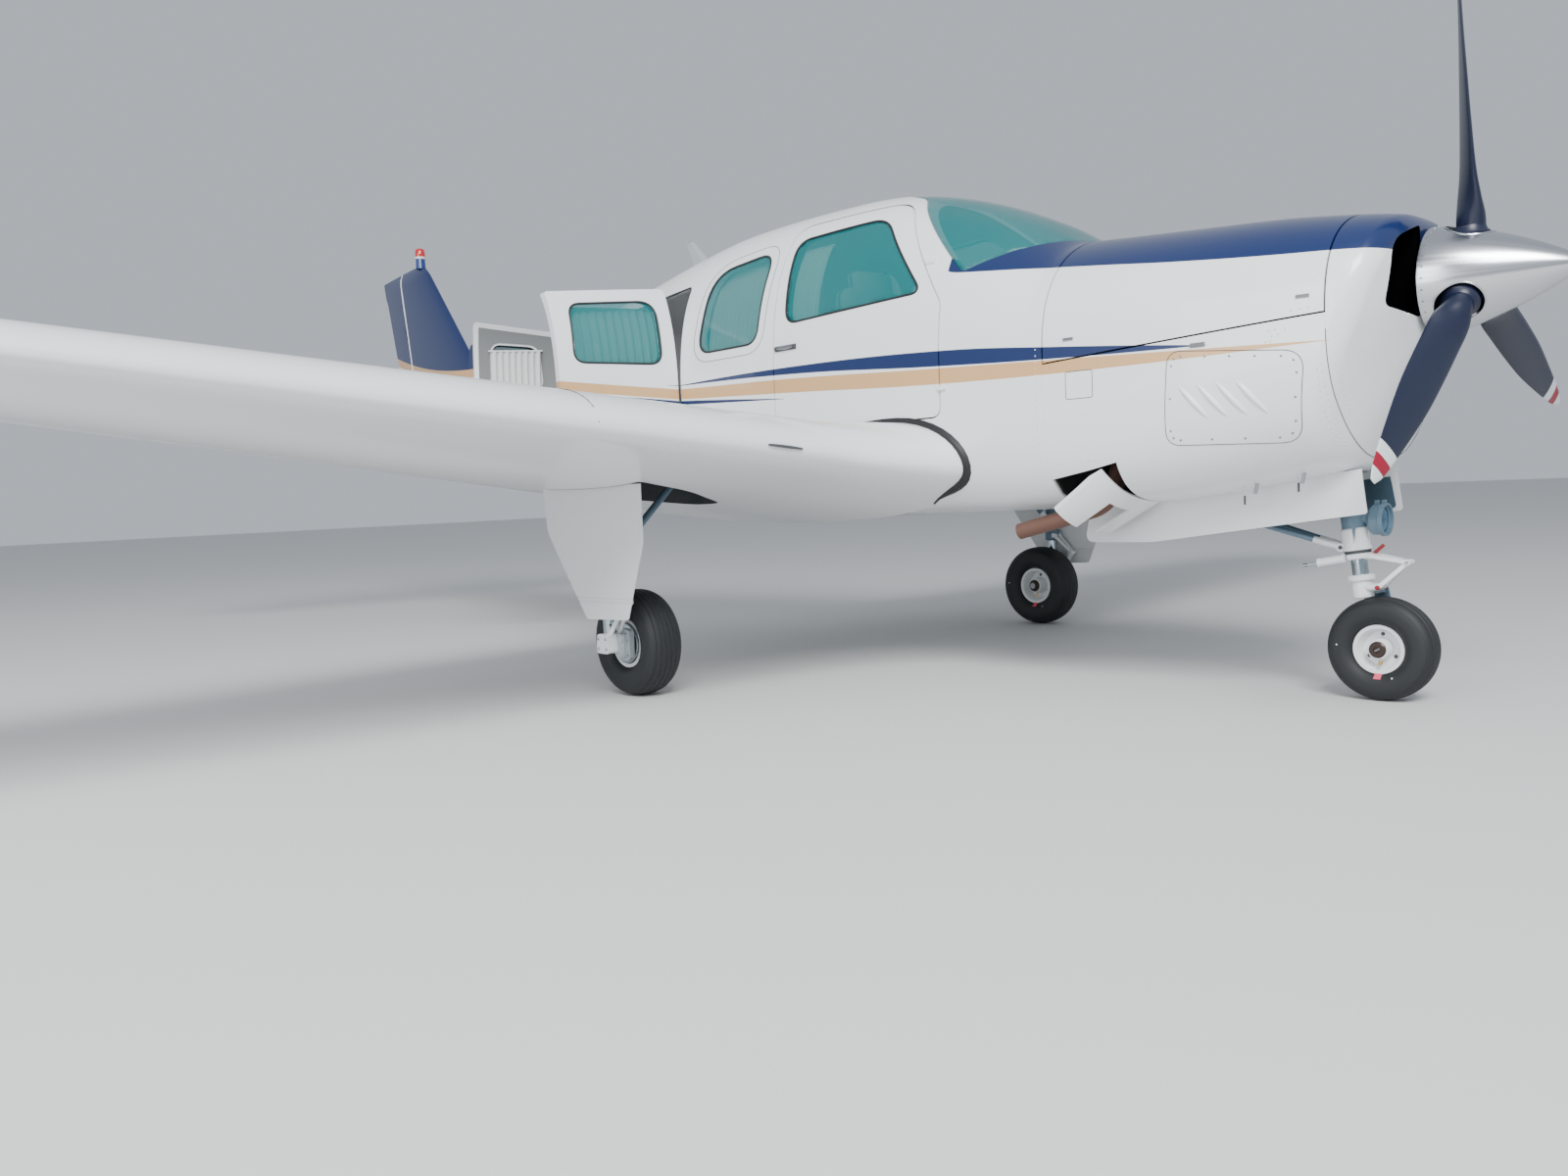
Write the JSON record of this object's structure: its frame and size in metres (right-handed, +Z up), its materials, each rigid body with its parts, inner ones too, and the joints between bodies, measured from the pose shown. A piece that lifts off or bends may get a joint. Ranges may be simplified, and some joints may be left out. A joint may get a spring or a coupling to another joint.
{
  "type": "light aircraft",
  "caption": "Low-wing propeller aircraft with a long glazed cabin, open side cargo doors, swept fin and lowered retractable wheels.",
  "frame": {"origin": "on the ground, under the middle of the bounding box", "axes": "+X to the nose, +Y to the aircraft's left wing, +Z up"},
  "size_m": [8.262, 10.21, 2.794],
  "materials": {
    "white_paint": "gloss white paint on sheet metal",
    "blue_paint": "gloss blue paint on sheet metal",
    "bare_metal": "polished",
    "gear_paint": "satin grey-white paint",
    "blade_paint": "satin near-black paint with banded tips",
    "tyre_rubber": "worn rubber",
    "tinted_glass": "teal tint",
    "exhaust_steel": "heat-stained",
    "engine_iron": "plain",
    "grey_trim": "satin grey",
    "panel_plastic": "matt",
    "seat_cloth": "woven",
    "red_lens": "clear red lens"
  },
  "bodies": {
    "airframe": {"engine_block": "engine_iron", "exhaust_left": "exhaust_steel", "exhaust_right": "exhaust_steel", "firewall": "grey_trim", "cabin_floor": "grey_trim", "nose_bowl": "white_paint", "cowl_lower": "white_paint", "wing_left": "white_paint", "wing_right": "white_paint", "tailplane": "white_paint", "tail_cone": "white_paint", "cabin_shell": "white_paint", "aerial": "white_paint", "nose_gear_door_left": "white_paint", "nose_gear_door_right": "white_paint", "leg_door_left": "white_paint", "leg_door_right": "white_paint", "fin": "blue_paint", "windshield": "tinted_glass", "window_left_front": "tinted_glass", "window_left_middle": "tinted_glass", "window_left_third": "tinted_glass", "window_left_rear": "tinted_glass", "window_right_middle": "tinted_glass", "beacon": "red_lens", "instrument_panel": "panel_plastic", "seats_front": "seat_cloth", "seats_middle": "seat_cloth", "seats_rear": "seat_cloth", "nose_leg": "gear_paint", "main_leg_left": "gear_paint", "main_leg_right": "gear_paint"},
    "propeller": {"propeller": "blade_paint", "spinner": "bare_metal"},
    "nose_steering": {"nose_fork": "gear_paint"},
    "nose_wheel": {"nose_rim": "white_paint", "nose_tyre": "tyre_rubber"},
    "main_wheel_left": {"main_rim_left": "white_paint", "main_tyre_left": "tyre_rubber"},
    "main_wheel_right": {"main_rim_right": "white_paint", "main_tyre_right": "tyre_rubber"},
    "cabin_door": {"cabin_door": "white_paint", "window_cabin_door": "tinted_glass"},
    "cargo_door_front": {"cargo_door_front": "white_paint", "window_cargo_front": "tinted_glass"},
    "cargo_door_rear": {"cargo_door_rear": "white_paint", "window_cargo_rear": "tinted_glass"},
    "cowl_door_left": {"cowl_door_left": "white_paint"},
    "cowl_door_right": {"cowl_door_right": "white_paint"},
    "cowl_flap_left": {"cowl_flap_left": "white_paint"},
    "cowl_flap_right": {"cowl_flap_right": "white_paint"},
    "aileron_left": {"aileron_left": "white_paint"},
    "aileron_right": {"aileron_right": "white_paint"},
    "flap_left": {"flap_left": "white_paint"},
    "flap_right": {"flap_right": "white_paint"},
    "elevators": {"elevators": "white_paint"},
    "rudder": {"rudder": "blue_paint"}
  },
  "joints": [
    {"name": "propeller_spin", "type": "hinge", "parent": "airframe", "child": "propeller", "pos_m": [3.809, 0, 1.406], "axis": [1, 0, 0], "continuous": true},
    {"name": "nose_steering_turn", "type": "hinge", "parent": "airframe", "child": "nose_steering", "pos_m": [3.461, 0, 0.4], "axis": [-0.1261, 0, 0.992], "range_deg": [-20, 20]},
    {"name": "nose_wheel_spin", "type": "hinge", "parent": "nose_steering", "child": "nose_wheel", "pos_m": [3.529, 0, 0.1805], "axis": [0, 1, 0], "continuous": true},
    {"name": "main_wheel_left_spin", "type": "hinge", "parent": "airframe", "child": "main_wheel_left", "pos_m": [1.103, 1.428, 0.22], "axis": [0, 1, 0], "continuous": true},
    {"name": "main_wheel_right_spin", "type": "hinge", "parent": "airframe", "child": "main_wheel_right", "pos_m": [1.103, -1.428, 0.22], "axis": [0, 1, 0], "continuous": true},
    {"name": "cabin_door_hinge", "type": "hinge", "parent": "airframe", "child": "cabin_door", "pos_m": [2.049, -0.5758, 1.3], "axis": [0, 0.0698, 0.9976], "range_deg": [0, 75]},
    {"name": "cargo_door_front_hinge", "type": "hinge", "parent": "airframe", "child": "cargo_door_front", "pos_m": [0.368, -0.568, 1.5], "axis": [0, 0, 1], "range_deg": [-82, 10]},
    {"name": "cargo_door_rear_hinge", "type": "hinge", "parent": "airframe", "child": "cargo_door_rear", "pos_m": [-0.793, -0.482, 1.5], "axis": [0, 0, -1], "range_deg": [-112, 10]},
    {"name": "cowl_door_left_hinge", "type": "hinge", "parent": "airframe", "child": "cowl_door_left", "pos_m": [2.535, 0.061, 1.752], "axis": [0.9963, 0, -0.0862], "range_deg": [0, 50]},
    {"name": "cowl_door_right_hinge", "type": "hinge", "parent": "airframe", "child": "cowl_door_right", "pos_m": [2.535, -0.061, 1.752], "axis": [-0.9963, 0, 0.0862], "range_deg": [0, 50]},
    {"name": "cowl_flap_left_hinge", "type": "hinge", "parent": "airframe", "child": "cowl_flap_left", "pos_m": [2.8, 0.35, 0.718], "axis": [0, 1, 0], "range_deg": [0, 25]},
    {"name": "cowl_flap_right_hinge", "type": "hinge", "parent": "airframe", "child": "cowl_flap_right", "pos_m": [2.8, -0.35, 0.718], "axis": [0, 1, 0], "range_deg": [0, 25]},
    {"name": "aileron_left_hinge", "type": "hinge", "parent": "airframe", "child": "aileron_left", "pos_m": [0.64689, 2.734, 1.08532], "axis": [-0.1089, -0.9871, -0.1176], "range_deg": [-20, 20]},
    {"name": "aileron_right_hinge", "type": "hinge", "parent": "airframe", "child": "aileron_right", "pos_m": [0.64689, -2.734, 1.08532], "axis": [0.1089, -0.9871, 0.1176], "range_deg": [-20, 20]},
    {"name": "flap_left_hinge", "type": "hinge", "parent": "airframe", "child": "flap_left", "pos_m": [0.45749, 0.645, 0.74207], "axis": [-0.104, -0.9852, -0.1361], "range_deg": [0, 30]},
    {"name": "flap_right_hinge", "type": "hinge", "parent": "airframe", "child": "flap_right", "pos_m": [0.45749, -0.645, 0.74207], "axis": [0.104, -0.9852, 0.1361], "range_deg": [0, 30]},
    {"name": "elevator_hinge", "type": "hinge", "parent": "airframe", "child": "elevators", "pos_m": [-3.5, 0, 1.555], "axis": [0, -1, 0], "range_deg": [-25, 20]},
    {"name": "rudder_hinge", "type": "hinge", "parent": "airframe", "child": "rudder", "pos_m": [-3.64, 0, 1.26], "axis": [-0.1145, 0, 0.9934], "range_deg": [-25, 25]}
  ],
  "couplings": [
    {"joint": "flap_right_hinge", "follows": "flap_left_hinge", "ratio": 1},
    {"joint": "aileron_right_hinge", "follows": "aileron_left_hinge", "ratio": -1},
    {"joint": "cowl_flap_right_hinge", "follows": "cowl_flap_left_hinge", "ratio": 1}
  ]
}
